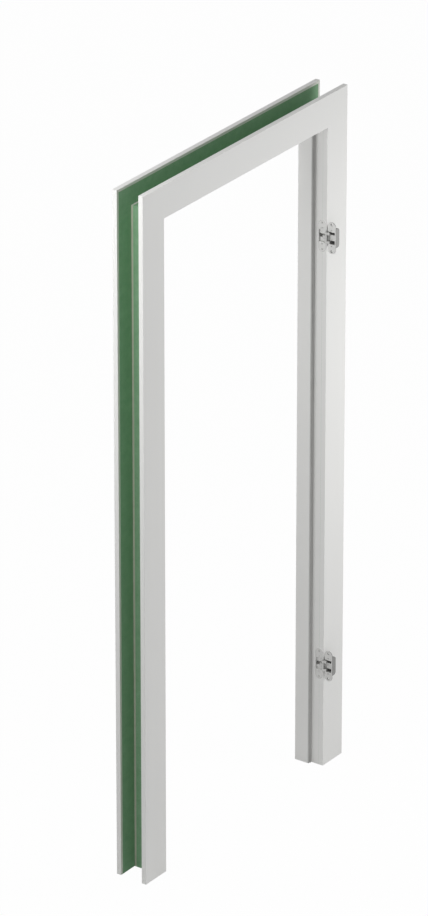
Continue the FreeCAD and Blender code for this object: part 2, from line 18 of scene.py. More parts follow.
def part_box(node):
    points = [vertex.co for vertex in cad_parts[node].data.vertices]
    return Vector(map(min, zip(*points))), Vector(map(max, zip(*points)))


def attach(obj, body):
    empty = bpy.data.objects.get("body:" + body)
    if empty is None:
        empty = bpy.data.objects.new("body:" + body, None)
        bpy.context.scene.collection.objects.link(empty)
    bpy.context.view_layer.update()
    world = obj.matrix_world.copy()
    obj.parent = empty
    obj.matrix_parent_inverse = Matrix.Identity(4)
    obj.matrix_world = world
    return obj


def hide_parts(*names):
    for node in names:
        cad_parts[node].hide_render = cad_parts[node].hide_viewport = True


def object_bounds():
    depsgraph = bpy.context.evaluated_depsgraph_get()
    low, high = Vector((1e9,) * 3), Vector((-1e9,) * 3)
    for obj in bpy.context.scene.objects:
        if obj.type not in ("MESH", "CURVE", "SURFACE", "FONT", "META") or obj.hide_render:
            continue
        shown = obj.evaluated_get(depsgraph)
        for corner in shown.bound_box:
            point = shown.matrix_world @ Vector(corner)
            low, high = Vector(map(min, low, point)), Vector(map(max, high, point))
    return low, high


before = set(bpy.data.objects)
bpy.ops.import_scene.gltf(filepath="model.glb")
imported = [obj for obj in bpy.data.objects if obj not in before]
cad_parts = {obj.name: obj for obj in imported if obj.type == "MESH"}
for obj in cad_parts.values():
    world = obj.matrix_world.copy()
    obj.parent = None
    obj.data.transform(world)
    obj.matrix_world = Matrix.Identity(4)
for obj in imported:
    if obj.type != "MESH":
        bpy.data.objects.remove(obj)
cad_low, cad_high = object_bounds()
print("CAD box", [round(v, 4) for v in cad_low], [round(v, 4) for v in cad_high])

# %% [markdown]
# Every place in this script is read off the frame's own nodes, so that nothing has to be
# typed twice. The reveal is the inside face of the jambs and the head. Nearly everything
# here is easiest to describe by how far it lies from the reveal and how deep it is in the
# wall, because the left jamb, the right jamb and the head all share those two numbers.

# %% Sizes read off the frame
MM = 0.001
SIDES = ("left", "right", "head")
casing_low, casing_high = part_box("front_casing_right")
lining_low, lining_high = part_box("lining_right")
stop_low, stop_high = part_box("stop_right")
rear_low, rear_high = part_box("rear_casing_right")
seal_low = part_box("seal_right")[0]
REVEAL_X = casing_low.x
REVEAL_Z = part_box("front_casing_head")[0].z
HALF_WIDTH = casing_high.x
HEIGHT = casing_high.z
CASING_BACK = casing_high.y
LINING_THICK = lining_high.x - lining_low.x
LINING_BACK = lining_high.y
STOP_FRONT = stop_low.y
STOP_THICK = REVEAL_X - stop_low.x
print("reveal at x %.4f and z %.4f" % (REVEAL_X, REVEAL_Z))

# %% [markdown]
# ## Writing shader maths as sums
#
# A material is a tree of nodes, and a tree drawn in code soon fills pages. Wrapping a
# socket in a small class that knows +, -, * and the comparisons lets a mask be written as
# one line of arithmetic, which stays readable. Colours don't go through those operators,
# because a Math node would turn them grey. They are mixed instead.


# %% A socket that can be added, scaled and compared
class Signal:
    """A socket of a node tree that behaves like a number in Python."""

    def __init__(self, finish, socket):
        self.finish = finish
        self.socket = socket

    def maths(self, operation, first, second=None):
        terms = {0: first, 1: second}
        return self.finish.node("ShaderNodeMath", {"operation": operation}, terms)

    def __add__(self, other):
        return self.maths("ADD", self, other)

    __radd__ = __add__

    def __sub__(self, other):
        return self.maths("SUBTRACT", self, other)

    def __rsub__(self, other):
        return self.maths("SUBTRACT", other, self)

    def __mul__(self, other):
        return self.maths("MULTIPLY", self, other)

    __rmul__ = __mul__

    def __gt__(self, other):
        return self.maths("GREATER_THAN", self, other)

    def __lt__(self, other):
        return self.maths("LESS_THAN", self, other)

    def __abs__(self):
        return self.maths("ABSOLUTE", self)

    def at_least(self, other):
        return self.maths("MAXIMUM", self, other)


# %% A material and the one method that adds its nodes
class Finish:
    """A material under construction, with a Principled shader at its end."""

    def __init__(self, name, **constants):
        self.material = bpy.data.materials.new(name)
        self.material.use_nodes = True
        self.tree = self.material.node_tree
        self.shader = self.tree.nodes["Principled BSDF"]
        for socket, value in constants.items():
            self.shader.inputs[socket.replace("_", " ")].default_value = value

    def node(self, kind, settings=None, inputs=None, output=0):
        """Add a node: its settings first, then the values or links of its sockets."""
        made = self.tree.nodes.new(kind)
        for name, value in (settings or {}).items():
            setattr(made, name, value)
        for name, value in (inputs or {}).items():
            if isinstance(value, Signal):
                self.tree.links.new(value.socket, made.inputs[name])
            elif value is not None:
                made.inputs[name].default_value = value
        return Signal(self, made.outputs[output])

    def place(self):
        """The point on the piece, and its x, y and z, all in metres."""
        point = self.node("ShaderNodeTexCoord", output="Object")
        parts = [self.node("ShaderNodeSeparateXYZ", None, {0: point}, axis) for axis in "XYZ"]
        return point, parts

    def stretch(self, point, scale):
        return self.node("ShaderNodeMapping", None, {"Vector": point, "Scale": scale})

    def noise(self, point, scale, detail):
        """Noise from 0 to 1; scale counts its features in a metre."""
        return self.node("ShaderNodeTexNoise", None,
                         {"Vector": point, "Scale": scale, "Detail": detail})

    def mix(self, factor, low, high):
        """Mix two colours; a plain colour is three numbers."""
        low, high = [c if isinstance(c, Signal) else (*c, 1.0) for c in (low, high)]
        return self.node("ShaderNodeMix", {"data_type": "RGBA"}, {0: factor, 6: low, 7: high}, 2)

    def bump(self, height, distance):
        """Relief from a height of 0 to 1 that stands for that distance."""
        return self.node("ShaderNodeBump", None,
                         {"Height": height, "Distance": distance, "Strength": 1.0})

    def feed(self, **signals):
        """Link signals to the shader's sockets and hand back the material."""
        for socket, signal in signals.items():
            self.tree.links.new(signal.socket, self.shader.inputs[socket.replace("_", " ")])
        return self.material


# %% [markdown]
# ## The boards' finish
#
# The frame is made of moisture-resistant fibreboard, which is dyed green, wrapped in a
# white foil. The foil is folded round each edge and stops a few millimetres in on the
# back, so a board seen from behind is green with a pale lap along its edge. One material
# per kind of board can do all three, because the back of a board lies in a known plane and
# the lap at a known distance from its edge. Separate faces with separate materials would
# work too, but they would need new cuts in meshes that are right as they are.

# %% White foil
FOIL_WARM = (0.860, 0.858, 0.840)
FOIL_COOL = (0.835, 0.836, 0.822)
FOIL_DRIFT_SCALE = 3.0
FOIL_SKIN_SCALE = 850.0


def foil_colour(finish, point):
    """White foil with the faint unevenness of a large coated sheet."""
    drift = finish.noise(point, FOIL_DRIFT_SCALE, 1.0)
    return finish.mix(drift, FOIL_COOL, FOIL_WARM)


def foil_relief(finish, point):
    """The fine orange skin of the foil, as a height from 0 to 1."""
    return finish.noise(point, FOIL_SKIN_SCALE, 2.0)


# %% Green fibreboard and its pale lap
GREEN_DARK = (0.186, 0.362, 0.200)
GREEN_LIGHT = (0.294, 0.494, 0.318)
FIBRE_PALE = (0.420, 0.580, 0.390)
LAP_EDGE = (0.700, 0.705, 0.640)
LAP_BODY = (0.800, 0.800, 0.755)
# Darker lap colours for the lining's laps on the jambs: painted shade where they meet the rear
# casing, against the lighter lap on the head.
LAP_SHADED_EDGE = (0.500, 0.505, 0.410)
LAP_SHADED_BODY = (0.620, 0.620, 0.530)
CASING_LAP = 8.4 * MM
LINING_LAP = 6.6 * MM
SKIN = 0.2 * MM
CLOUD_SCALE = 45.0
SPECK_STRETCH = (900.0, 900.0, 260.0)
SPECK_LEVEL = 0.63
SPECK_SHARE = 0.55
RAGGED_SCALE = 120.0
FELT_SCALE = 1400.0
SHEEN_SCALE = 9.0
FOIL_ROUGH = 0.40
FOIL_ROUGH_DRIFT = 0.05
FIBRE_ROUGHER = 0.35
FOIL_RELIEF_SHARE = 0.18
BOARD_RELIEF = 0.06 * MM


def fibre_colour(finish, point):
    """Dyed fibreboard: a cloudy green with pale fibres pressed into it."""
    cloud = finish.noise(point, CLOUD_SCALE, 5.0)
    base = finish.mix(cloud, GREEN_DARK, GREEN_LIGHT)
    speck = finish.noise(finish.stretch(point, SPECK_STRETCH), 1.0, 3.0)
    return finish.mix((speck > SPECK_LEVEL) * SPECK_SHARE, base, FIBRE_PALE)


def board_finish(name, find_back, find_lap, find_shaded_lap=None):
    """Foil everywhere but on the back, which is fibreboard with a lap of foil.

    The find functions take x, y and z and give 1 inside the back, the lap or the part of
    the lap that gets painted shade, and 0 elsewhere.
    """
    finish = Finish(name, Specular_IOR_Level=0.35)
    point, (x, y, z) = finish.place()
    back = find_back(x, y, z)
    lap = find_lap(x, y, z)
    ragged = finish.noise(point, RAGGED_SCALE, 2.0)
    lap_colour = finish.mix(ragged, LAP_EDGE, LAP_BODY)
    if find_shaded_lap:
        shaded_lap_colour = finish.mix(ragged, LAP_SHADED_EDGE, LAP_SHADED_BODY)
        lap_colour = finish.mix(find_shaded_lap(x, y, z), lap_colour, shaded_lap_colour)
    bare = back * (1 - lap)
    colour = finish.mix(lap, fibre_colour(finish, point), lap_colour)
    colour = finish.mix(back, foil_colour(finish, point), colour)
    skin = foil_relief(finish, point)
    felt = finish.noise(point, FELT_SCALE, 4.0)
    sheen = finish.noise(point, SHEEN_SCALE, 2.0)
    roughness = FOIL_ROUGH + FOIL_ROUGH_DRIFT * sheen + FIBRE_ROUGHER * bare
    height = skin * FOIL_RELIEF_SHARE * (1 - bare) + felt * bare
    relief = finish.bump(height, BOARD_RELIEF)
    return finish.feed(Base_Color=colour, Roughness=roughness, Normal=relief)


def beyond(x, z, half_width, top):
    """How far a point lies outside an upside-down U of that half width and height."""
    return (abs(x) - half_width).at_least(z - top)


# %% The three boards
REAR_HALF_WIDTH = rear_high.x
REAR_HEIGHT = rear_high.z
LINING_X = REVEAL_X + LINING_THICK
LINING_Z = REVEAL_Z + LINING_THICK
front_board = board_finish(
    "front_board_foil",
    lambda x, y, z: y > CASING_BACK - SKIN,
    lambda x, y, z: beyond(x, z, HALF_WIDTH - CASING_LAP, HEIGHT - CASING_LAP) > 0.0)
rear_board = board_finish(
    "rear_board_foil",
    lambda x, y, z: y < rear_low.y + SKIN,
    lambda x, y, z: beyond(x, z, REAR_HALF_WIDTH - CASING_LAP, REAR_HEIGHT - CASING_LAP) > 0.0)
lining_board = board_finish(
    "lining_board_foil",
    lambda x, y, z: beyond(x, z, LINING_X - SKIN, LINING_Z - SKIN) > 0.0,
    lambda x, y, z: y > LINING_BACK - LINING_LAP,
    # Painted shade: the laps on the jambs, below the head's top face, take the darker lap
    # colours.
    lambda x, y, z: z < LINING_Z - SKIN)
print("board finishes", front_board.name, rear_board.name, lining_board.name)

# %% [markdown]
# ## The other finishes
#
# Tongues and splines are raw fibreboard in its own brown. The seal is a soft grey
# rubber: matt, with a faint drag line along its length from the die that it was drawn
# through, and its bulb is painted a little darker than its lip as painted shade in the corner
# by the reveal. The hinge plates are zinc under a pale satin lacquer, with painted shade
# below the face, in the screw holes and on the rims. The housing in the jamb is painted just
# as pale, as painted light that lifts the shade in its pocket, while the one for the leaf is
# left as cast and dark, with painted light making it pale at the mouth of its window. The
# adjusting screws share the pale finish and its painted light, so they hardly stand out from
# their plates. Arms, pins and fixing screws are plated steel, smoother and darker than the
# plates.


# %% Raw board and rubber
RAW_DARK = (0.26, 0.17, 0.10)
RAW_LIGHT = (0.52, 0.38, 0.25)
RAW_CLOUD_SCALE = 60.0
RAW_CLOUD_SHARE = 0.6
RAW_FIBRE_SHARE = 0.4
RAW_FIBRE_STRETCH = (1000.0, 1000.0, 240.0)
RAW_RELIEF = 0.10 * MM
# The bulb's colours are a little darker than the lip's: painted shade in the corner by the
# reveal.
BULB_SHADED_DARK = (0.465, 0.467, 0.455)
BULB_SHADED_LIGHT = (0.545, 0.547, 0.533)
LIP_DARK = (0.500, 0.502, 0.490)
LIP_LIGHT = (0.580, 0.582, 0.568)
LIP_START = 8.0 * MM
BLOOM_SCALE = 26.0
DRAG_STRETCH = (1800.0, 1800.0, 12.0)
DRAG_RELIEF = 0.03 * MM
RUBBER_ROUGH = 0.62
RUBBER_ROUGH_DRIFT = 0.12


def raw_board_finish():
    """Brown pressed fibres, cut and not coated."""
    finish = Finish("raw_board_fibre", Roughness=0.85, Specular_IOR_Level=0.25)
    point, _ = finish.place()
    cloud = finish.noise(point, RAW_CLOUD_SCALE, 5.0)
    fibres = finish.noise(finish.stretch(point, RAW_FIBRE_STRETCH), 1.0, 4.0)
    blend = cloud * RAW_CLOUD_SHARE + fibres * RAW_FIBRE_SHARE
    colour = finish.mix(blend, RAW_DARK, RAW_LIGHT)
    return finish.feed(Base_Color=colour, Normal=finish.bump(fibres, RAW_RELIEF))


def rubber_finish():
    """One grey rubber drawn as a strip, its bulb beside the reveal painted a little darker than
    its lip as painted shade.
    """
    finish = Finish("seal_grey_rubber", Specular_IOR_Level=0.30)
    point, (x, _, z) = finish.place()
    bloom = finish.noise(point, BLOOM_SCALE, 4.0)
    drag = finish.noise(finish.stretch(point, DRAG_STRETCH), 1.0, 1.0)
    bulb = finish.mix(bloom, BULB_SHADED_DARK, BULB_SHADED_LIGHT)
    lip = finish.mix(bloom, LIP_DARK, LIP_LIGHT)
    # Painted shade: next to the reveal the bulb takes the darker colours, and the lip farther out
    # the lighter ones.
    in_opening = beyond(x, z, REVEAL_X - LIP_START, REVEAL_Z - LIP_START) < 0.0
    colour = finish.mix(in_opening, bulb, lip)
    roughness = RUBBER_ROUGH + RUBBER_ROUGH_DRIFT * bloom
    relief = finish.bump(drag, DRAG_RELIEF)
    return finish.feed(Base_Color=colour, Roughness=roughness, Normal=relief)


raw_board = raw_board_finish()
seal_rubber = rubber_finish()


# %% Metals
PATCH_SCALE = 70.0
PATCH_SHARE = 0.7
GRAIN_SHARE = 0.3
PATCH_ROUGHER = 0.10
GRAIN_ROUGHER = 0.06


def metal_finish(name, dull, bright, rough, metallic, grain, relief, find_other=None, other=None):
    """Satin metal: a fine cast or brushed grain, and slow changes of sheen.

    Where find_other gives 1 for x, y and z, the other colour takes over; the scene uses it for
    painted light and painted shade.
    """
    finish = Finish(name, Metallic=metallic)
    point, (x, y, z) = finish.place()
    patches = finish.noise(point, PATCH_SCALE, 3.0)
    texture = finish.noise(finish.stretch(point, grain), 1.0, 2.0)
    colour = finish.mix(patches * PATCH_SHARE + texture * GRAIN_SHARE, dull, bright)
    # The other colour is painted light or painted shade.
    if find_other:
        colour = finish.mix(find_other(x, y, z), colour, other)
    roughness = rough + PATCH_ROUGHER * patches + GRAIN_ROUGHER * texture
    bumps = finish.bump(texture, relief)
    return finish.feed(Base_Color=colour, Roughness=roughness, Normal=bumps)


CAST = (2600.0, 2600.0, 2600.0)
BRUSHED = (3200.0, 3200.0, 120.0)
PLATE_SKIN = 0.35 * MM
LIT_DEPTH = 5.0 * MM
frame_plate_low, frame_plate_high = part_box("upper_hinge_frame_plate")
lower_plate_low, lower_plate_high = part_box("lower_hinge_frame_plate")
HINGE_LINE = (frame_plate_low.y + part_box("upper_hinge_leaf_plate")[1].y) / 2
PLATE_MIDDLE = (frame_plate_low.y + frame_plate_high.y) / 2 - HINGE_LINE
WINDOW_HALF = 10.4 * MM
PLATE_WINDOW_HALF = 11.8 * MM
WINDOW_REACH = 19.5 * MM
UPPER_CENTRE = (frame_plate_low.z + frame_plate_high.z) / 2
LOWER_CENTRE = (lower_plate_low.z + lower_plate_high.z) / 2


def near_plate_middle(y, reach):
    """Within that reach of the middle of either plate, judged by depth alone."""
    return abs(abs(y - HINGE_LINE) - PLATE_MIDDLE) < reach


def shaded_below_plate_face(x, y, z):
    """Below a plate's face, in its screw holes and on its rim, but not in its window: the part
    that gets painted shade.
    """
    past_upper = abs(z - UPPER_CENTRE) > WINDOW_REACH
    past_lower = abs(z - LOWER_CENTRE) > WINDOW_REACH
    in_window = near_plate_middle(y, PLATE_WINDOW_HALF) * (1 - past_upper * past_lower)
    return (x > REVEAL_X + PLATE_SKIN) * (1 - in_window)


def painted_light_window_mouth(x, y, z):
    """Inside a hinge half's window, near its mouth, where the leaf housing gets painted light."""
    return near_plate_middle(y, WINDOW_HALF) * (x < REVEAL_X + LIT_DEPTH)


# The plates' dark colour below the face is painted shade on the walls of the screw holes and on
# the rims.
hinge_plate = metal_finish(
    "hinge_plate_satin", dull=(0.550, 0.550, 0.540), bright=(0.645, 0.645, 0.630),
    rough=0.36, metallic=0.55, grain=CAST, relief=0.012 * MM,
    find_other=shaded_below_plate_face, other=(0.20, 0.20, 0.195))
# Pale zinc as painted light: it lifts the shade in the pocket of the jamb's housing and on the
# adjusting screws.
hinge_painted_light = metal_finish(
    "hinge_zinc_painted_light", dull=(0.580, 0.580, 0.570), bright=(0.680, 0.680, 0.665),
    rough=0.40, metallic=0.45, grain=CAST, relief=0.020 * MM)
# The leaf housing is dark cast zinc; the pale colour at the mouth of its window is painted light.
hinge_zinc = metal_finish(
    "hinge_zinc_cast", dull=(0.23, 0.23, 0.225), bright=(0.31, 0.31, 0.30),
    rough=0.48, metallic=0.35, grain=CAST, relief=0.020 * MM,
    find_other=painted_light_window_mouth, other=(0.66, 0.66, 0.645))
hinge_steel = metal_finish(
    "hinge_steel_plated", dull=(0.42, 0.42, 0.41), bright=(0.56, 0.56, 0.55),
    rough=0.30, metallic=0.75, grain=BRUSHED, relief=0.010 * MM)
strike_steel = metal_finish(
    "strike_steel_brushed", dull=(0.50, 0.50, 0.49), bright=(0.63, 0.63, 0.61),
    rough=0.28, metallic=0.90, grain=BRUSHED, relief=0.012 * MM)
screw_steel = metal_finish(
    "screw_steel_zinced", dull=(0.40, 0.40, 0.39), bright=(0.58, 0.58, 0.56),
    rough=0.27, metallic=0.90, grain=CAST, relief=0.008 * MM)
metals = (hinge_plate, hinge_painted_light, hinge_zinc, hinge_steel, strike_steel, screw_steel)
print("metals", [metal.name for metal in metals])

# %% [markdown]
# ## Turning a solid into a finished piece
#
# A CAD solid arrives as loose triangles with knife edges. Real boards have a small
# radius where the foil goes round, and it is what catches the light along an edge. The
# solid itself isn't touched: a copy is merged, its flat faces are joined up again, chosen
# edges are bevelled, and the copy then stands for the node.


# %% Copy, merge and bevel
MERGE_DISTANCE = 0.005 * MM
FLAT_ANGLE = math.radians(0.5)


def merged_copy(node):
    """A bmesh of a node's solid with shared corners and whole flat faces."""
    bm = bmesh.new()
    bm.from_mesh(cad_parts[node].data)
    bmesh.ops.remove_doubles(bm, verts=bm.verts, dist=MERGE_DISTANCE)
    bmesh.ops.dissolve_limit(bm, angle_limit=FLAT_ANGLE, verts=bm.verts, edges=bm.edges)
    bmesh.ops.recalc_face_normals(bm, faces=bm.faces)
    return bm


def soften(bm, edges, width, segments=3):
    """Round the edges and shade only the rounding smoothly."""
    for face in bm.faces:
        face.smooth = False
    result = bmesh.ops.bevel(bm, geom=edges, offset=width, offset_type="OFFSET", affect="EDGES",
                             segments=segments, profile=0.5, material=-1, clamp_overlap=True)
    for face in result["faces"]:
        face.smooth = True


def sharp_edges(bm, least):
    """The edges where two faces meet at more than that many degrees."""
    least = math.radians(least)
    return [e for e in bm.edges if len(e.link_faces) == 2 and e.calc_face_angle(0.0) > least]


def finish_piece(bm, node, body, material):
    """Make the bmesh a piece that stands for the node and rides on its body."""
    mesh = bpy.data.meshes.new(node + "_mesh")
    bm.to_mesh(mesh)
    bm.free()
    mesh.materials.append(material)
    piece = bpy.data.objects.new(node + "_shown", mesh)
    bpy.context.scene.collection.objects.link(piece)
    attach(piece, body)
    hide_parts(node)
    return piece


# %% [markdown]
# The boards' long arrises are the ones that show. The mitres stay sharp, because they are
# cut after the foil is on and pushed tight together, and so does the joint between casing
# and lining on the reveal, where two boards meet flush. An edge is therefore bevelled by
# where it lies: along the outside of a layer, or along its face on the opening side.

# %% Boards
FOIL_RADIUS = 0.8 * MM
NEAR = 0.05 * MM
LONG_EDGE = 0.5
STRAIGHT_SHARE = 0.999
BOARD_ARRIS = 60.0


def runs_along_board(edge):
    """A long edge that lies along the board, and not along a mitre."""
    run = edge.verts[1].co - edge.verts[0].co
    along = max(abs(run.x), abs(run.z))
    return run.length > LONG_EDGE and along > STRAIGHT_SHARE * run.length


def board_edges(bm, depths, distances):
    """The long edges at one of these depths and distances out from the reveal."""
    found = []
    for edge in sharp_edges(bm, BOARD_ARRIS):
        middle = (edge.verts[0].co + edge.verts[1].co) / 2
        out = max(abs(middle.x) - REVEAL_X, middle.z - REVEAL_Z)
        at_depth = any(abs(middle.y - depth) < NEAR for depth in depths)
        at_distance = any(abs(out - distance) < NEAR for distance in distances)
        if runs_along_board(edge) and at_depth and at_distance:
            found.append(edge)
    return found


def dress_boards(layer, material, body, depths, distances):
    """Round and paint the left, right and head board of one layer."""
    for side in SIDES:
        node = "%s_%s" % (layer, side)
        bm = merged_copy(node)
        edges = board_edges(bm, depths, distances)
        soften(bm, edges, FOIL_RADIUS)
        piece = finish_piece(bm, node, body, material)
        print(piece.name, "edges rounded", len(edges), "faces", len(piece.data.polygons))


CASING_WIDTH = HALF_WIDTH - REVEAL_X
dress_boards("front_casing", front_board, "root",
             [0.0, CASING_BACK], [CASING_WIDTH])
dress_boards("rear_casing", rear_board, "rear_casing",
             [rear_low.y, rear_high.y], [rear_high.x - REVEAL_X, rear_low.x - REVEAL_X])
dress_boards("lining", lining_board, "root",
             [LINING_BACK], [0.0, LINING_THICK])
dress_boards("stop", lining_board, "root",
             [STOP_FRONT, stop_high.y], [-STOP_THICK])

# %% [markdown]
# ## The seal
#
# The seal is a hollow rubber strip pressed into a slot in front of the stop. Its section is
# a round bulb beside the reveal, which the leaf squashes, and a thin lip that hides the
# stop's edge. A section drawn once and extruded along each side gives that shape exactly.
# The ends are then slid along the strip to meet at 45 degrees, as they are cut with a
# mitre shear on site. Sweeping a curve round the corner would round the mitre off.

# %% The seal's section
SEAL_WIDTH = REVEAL_X - seal_low.x
SEAL_FRONT = seal_low.y + 2.2 * MM
SEAL_FIT = 0.2 * MM
BULB_OUT = 3.9 * MM
BULB_RADIUS = 3.5 * MM
BULB_CENTRE = SEAL_FRONT + BULB_RADIUS + 0.1 * MM
BULB_HEEL = BULB_CENTRE + 1.5 * MM
SEAL_CREASE = math.radians(50)
BULB_START = 170.0
BULB_STEP = 18.0
BULB_POINTS = 11
LIP_FRONT = STOP_FRONT - 3.3 * MM
VALLEY_OUT = 8.4 * MM
LIP_POINTS = [
    (VALLEY_OUT, LIP_FRONT + 0.4 * MM),
    (VALLEY_OUT + 1.2 * MM, LIP_FRONT + 0.1 * MM),
    (SEAL_WIDTH - 0.7 * MM, LIP_FRONT + 0.2 * MM),
    (SEAL_WIDTH, LIP_FRONT + 1.0 * MM),
    (SEAL_WIDTH, STOP_FRONT),
]


def seal_section():
    """Points of the section as (distance into the opening, depth), all the way round."""
    points = [(SEAL_FIT, STOP_FRONT), (SEAL_FIT, BULB_HEEL)]
    for step in range(BULB_POINTS):
        angle = math.radians(BULB_START + BULB_STEP * step)
        points.append((BULB_OUT + BULB_RADIUS * math.cos(angle),
                       BULB_CENTRE + BULB_RADIUS * math.sin(angle)))
    return points + LIP_POINTS


def strip_start(where, out, depth):
    """A point where a strip begins: at a jamb's foot, or at the head's left mitre."""
    if where == "head":
        return Vector((-(REVEAL_X - out), depth, REVEAL_Z - out))
    side = 1 if where == "right" else -1
    return Vector((side * (REVEAL_X - out), depth, 0.0))


# %% Draw the seals along the two jambs and the head
def make_strip(where, section):
    """Extrude a section along one side of the opening, mitred at the top corners."""
    bm = bmesh.new()
    ring = [bm.verts.new(strip_start(where, out, depth)) for out, depth in section]
    face = bm.faces.new(ring)
    far = bmesh.ops.extrude_face_region(bm, geom=[face])
    moved = [item for item in far["geom"] if isinstance(item, bmesh.types.BMVert)]
    for vert in moved:
        if where == "head":
            vert.co.x = -vert.co.x
        else:
            vert.co.z = REVEAL_Z - (REVEAL_X - abs(vert.co.x))
    bmesh.ops.recalc_face_normals(bm, faces=bm.faces)
    for side in bm.faces:
        side.smooth = len(side.verts) == 4
    return bm


for where in SIDES:
    strip = finish_piece(make_strip(where, seal_section()), "seal_" + where, "root",
                         seal_rubber)
    strip.data.set_sharp_from_angle(angle=SEAL_CREASE)
    print(strip.name, "faces", len(strip.data.polygons))

# %% [markdown]
# ## The concealed hinges
#
# Each hinge has a half let into the jamb and a half for the leaf, joined by cranked arms.
# All of them are die castings or stampings, so their edges are rounded by a few tenths of
# a millimetre. Their solids are right in every other way, so the same copy and bevel
# serves, with a narrower bevel.

# %% Round the castings and the arms
CAST_RADIUS = 0.4 * MM
CAST_ARRIS = 50.0
LEVELS = ("upper", "lower")
# Each piece: the record's slot, the finish, and the moving body, or None for the jamb.
HINGE_PIECES = {
    # The jamb housing and the adjusting screws take the pale finish with painted light.
    "frame_housing": ("hinge_zinc", hinge_painted_light, None),
    "frame_plate": ("hinge_zinc", hinge_plate, None),
    "frame_pin": ("hinge_steel", hinge_steel, None),
    "frame_adjusters": ("hinge_steel", hinge_painted_light, None),
    "leaf_housing": ("hinge_zinc", hinge_zinc, "leaf_half"),
    "leaf_plate": ("hinge_zinc", hinge_plate, "leaf_half"),
    "leaf_pin": ("hinge_steel", hinge_steel, "leaf_half"),
    "leaf_adjusters": ("hinge_steel", hinge_painted_light, "leaf_half"),
    "central_arm": ("hinge_steel", hinge_steel, "central_arm"),
    "centre_pin": ("hinge_steel", hinge_steel, "central_arm"),
    "outer_arm_top": ("hinge_steel", hinge_steel, "outer_arms"),
    "outer_arm_bottom": ("hinge_steel", hinge_steel, "outer_arms"),
}


def dress_hinge(level):
    """Round and paint every piece of one hinge but its screws."""
    for piece_name, (slot, material, rider) in HINGE_PIECES.items():
        node = "%s_hinge_%s" % (level, piece_name)
        bm = merged_copy(node)
        soften(bm, sharp_edges(bm, CAST_ARRIS), CAST_RADIUS, segments=2)
        body = "%s_%s" % (level, rider) if rider else "root"
        finish_piece(bm, node, body, material)
    print(level, "hinge pieces", len(HINGE_PIECES))


for level in LEVELS:
    dress_hinge(level)

# %% The strike plate and the hidden joinery
bm = merged_copy("strike_plate")
soften(bm, sharp_edges(bm, CAST_ARRIS), CAST_RADIUS, segments=2)
finish_piece(bm, "strike_plate", "root", strike_steel)


def repaint(node, material):
    """Give a CAD node, whose shape stays, its own finish."""
    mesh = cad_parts[node].data
    mesh.materials.clear()
    mesh.materials.append(material)


for side in SIDES:
    repaint("front_spline_" + side, raw_board)
    repaint("rear_tongue_" + side, raw_board)

# %% [markdown]
# ## Screws
#
# A countersunk wood screw is a solid of revolution with a cross driven into its head. The
# revolution is a spun outline. It starts at the rim of the head, so the top stays open, and
# the ring that is left there is bridged to a cross of twelve points. The cross is then
# extruded inwards and narrowed, which gives the sloping walls of the driver's seat. A
# boolean would do it too, but leaves long slivers round the head.

# %% One screw, pointing down
RIM_SINK = 0.05 * MM
PLAIN_LENGTH = 1.0 * MM
THREAD_PITCH = 1.8 * MM
THREAD_DEPTH = 0.5 * MM
THREAD_ROOT_FROM = 0.35
THREAD_ROOT_TO = 0.70
POINT_LENGTH = 4.0 * MM
CROSS_ARM = 0.55
CROSS_HALF_SLOT = 0.14
RECESS_DEPTH = 1.9 * MM
RECESS_TAPER = 0.55
SPIN_STEPS = 24
SPIN_MERGE = 0.001 * MM


def screw_outline(head, shank, length):
    """Points (radius, height) from the head's rim down to the tip."""
    neck = -(head - shank)
    points = [(head, -RIM_SINK), (shank, neck), (shank, neck - PLAIN_LENGTH)]
    turns = int((length + neck - POINT_LENGTH - PLAIN_LENGTH) / THREAD_PITCH)
    for turn in range(turns):
        top = neck - PLAIN_LENGTH - turn * THREAD_PITCH
        points.append((shank - THREAD_DEPTH, top - THREAD_ROOT_FROM * THREAD_PITCH))
        points.append((shank - THREAD_DEPTH, top - THREAD_ROOT_TO * THREAD_PITCH))
        points.append((shank, top - THREAD_PITCH))
    points.append((shank - THREAD_DEPTH, -length + POINT_LENGTH))
    points.append((0.0, -length))
    return points


def cross_outline(arm, half_slot):
    """Twelve corners of a cross."""
    quarter = [(arm, -half_slot), (arm, half_slot), (half_slot, half_slot)]
    points = []
    for turn in range(4):
        angle = turn * math.pi / 2
        for x, y in quarter:
            points.append((x * math.cos(angle) - y * math.sin(angle),
                           x * math.sin(angle) + y * math.cos(angle)))
    return points


def ring_of(bm, verts):
    """Join the points into a closed ring of edges."""
    return [bm.edges.new((vert, verts[i - 1])) for i, vert in enumerate(verts)]


